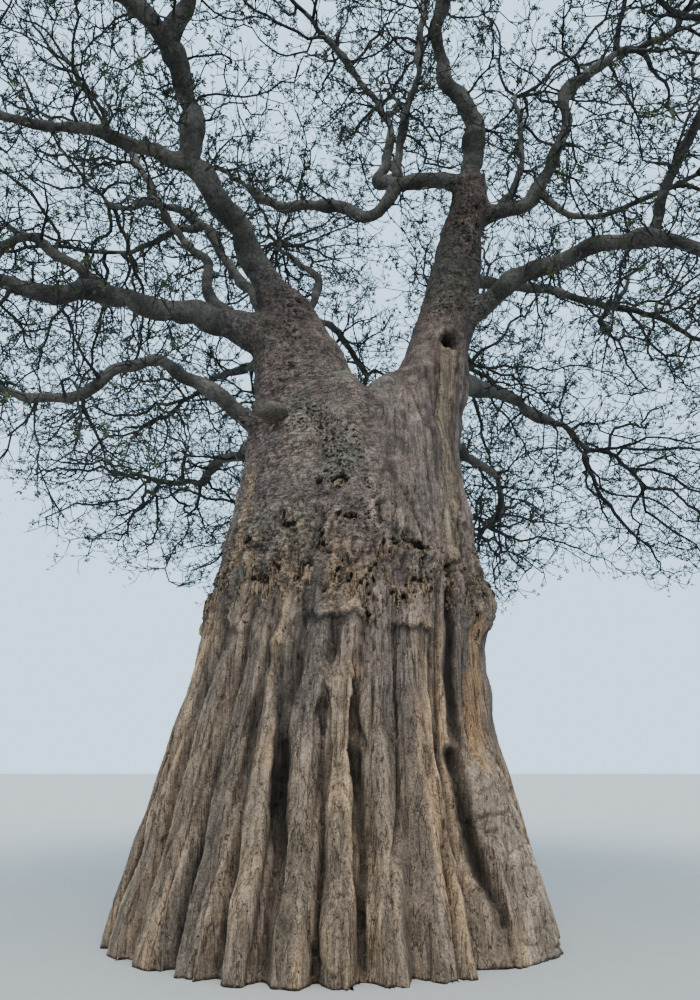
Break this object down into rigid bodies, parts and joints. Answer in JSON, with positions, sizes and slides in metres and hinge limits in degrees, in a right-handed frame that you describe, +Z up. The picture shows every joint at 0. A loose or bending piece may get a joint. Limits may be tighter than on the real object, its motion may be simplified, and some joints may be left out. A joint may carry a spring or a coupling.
{
  "type": "baobab tree",
  "caption": "Whole baobab tree: a broad ribbed trunk that forks low into stems, crooked spreading boughs, and a wide open crown of fine twigs with sparse leaves.",
  "frame": {"origin": "in the flat cut under the trunk, at ground level, near the middle of the trunk's foot", "axes": "+Z up, +X to the right of the front view, +Y away behind the tree"},
  "size_m": [18.6843, 19.4877, 15.7529],
  "materials": {
    "trunk_bark": "smooth grey-brown bark, folded into ribs, with fine wrinkles and pits",
    "bough_bark": "dark grey-brown bark, finely wrinkled",
    "foliage": "small dull olive leaves on fine dark twigs"
  },
  "bodies": {
    "root": {"trunk": "trunk_bark", "stem_left": "trunk_bark", "stem_right": "trunk_bark", "mass_low_1": "foliage", "mass_low_2": "foliage", "mass_low_3": "foliage", "mass_low_4": "foliage", "mass_low_5": "foliage", "mass_low_6": "foliage", "mass_low_7": "foliage", "mass_low_8": "foliage", "mass_middle_1": "foliage", "mass_middle_2": "foliage", "mass_middle_3": "foliage", "mass_middle_4": "foliage", "mass_middle_5": "foliage", "mass_middle_6": "foliage", "mass_middle_7": "foliage", "mass_middle_8": "foliage", "mass_middle_9": "foliage", "mass_upper_1": "foliage", "mass_upper_2": "foliage", "mass_upper_3": "foliage", "mass_upper_4": "foliage", "mass_upper_5": "foliage", "mass_upper_6": "foliage", "mass_top_1": "foliage", "mass_top_2": "foliage", "mass_top_3": "foliage", "stump_front_left": "bough_bark", "stump_right_top": "bough_bark", "bough_left_main": "bough_bark", "bough_left_fork": "bough_bark", "bough_left_curl": "bough_bark", "bough_left_long": "bough_bark", "bough_left_long_fork": "bough_bark", "bough_left_bent": "bough_bark", "bough_left_rear_low": "bough_bark", "bough_left_riser": "bough_bark", "bough_left_rear_long": "bough_bark", "bough_left_rear_fork": "bough_bark", "bough_left_back": "bough_bark", "bough_back_left": "bough_bark", "bough_back_middle": "bough_bark", "bough_back_right": "bough_bark", "bough_back_low": "bough_bark", "bough_right_main": "bough_bark", "bough_right_rise": "bough_bark", "bough_right_rise_fork": "bough_bark", "bough_right_sprout": "bough_bark", "bough_right_front": "bough_bark", "bough_right_front_fork": "bough_bark", "bough_right_side_fork": "bough_bark", "bough_right_rear": "bough_bark", "bough_right_long": "bough_bark", "bough_right_back_low": "bough_bark", "bough_cross_left": "bough_bark", "bough_centre_rear": "bough_bark", "bough_centre_rise": "bough_bark", "bough_centre_front": "bough_bark"}
  },
  "joints": []
}
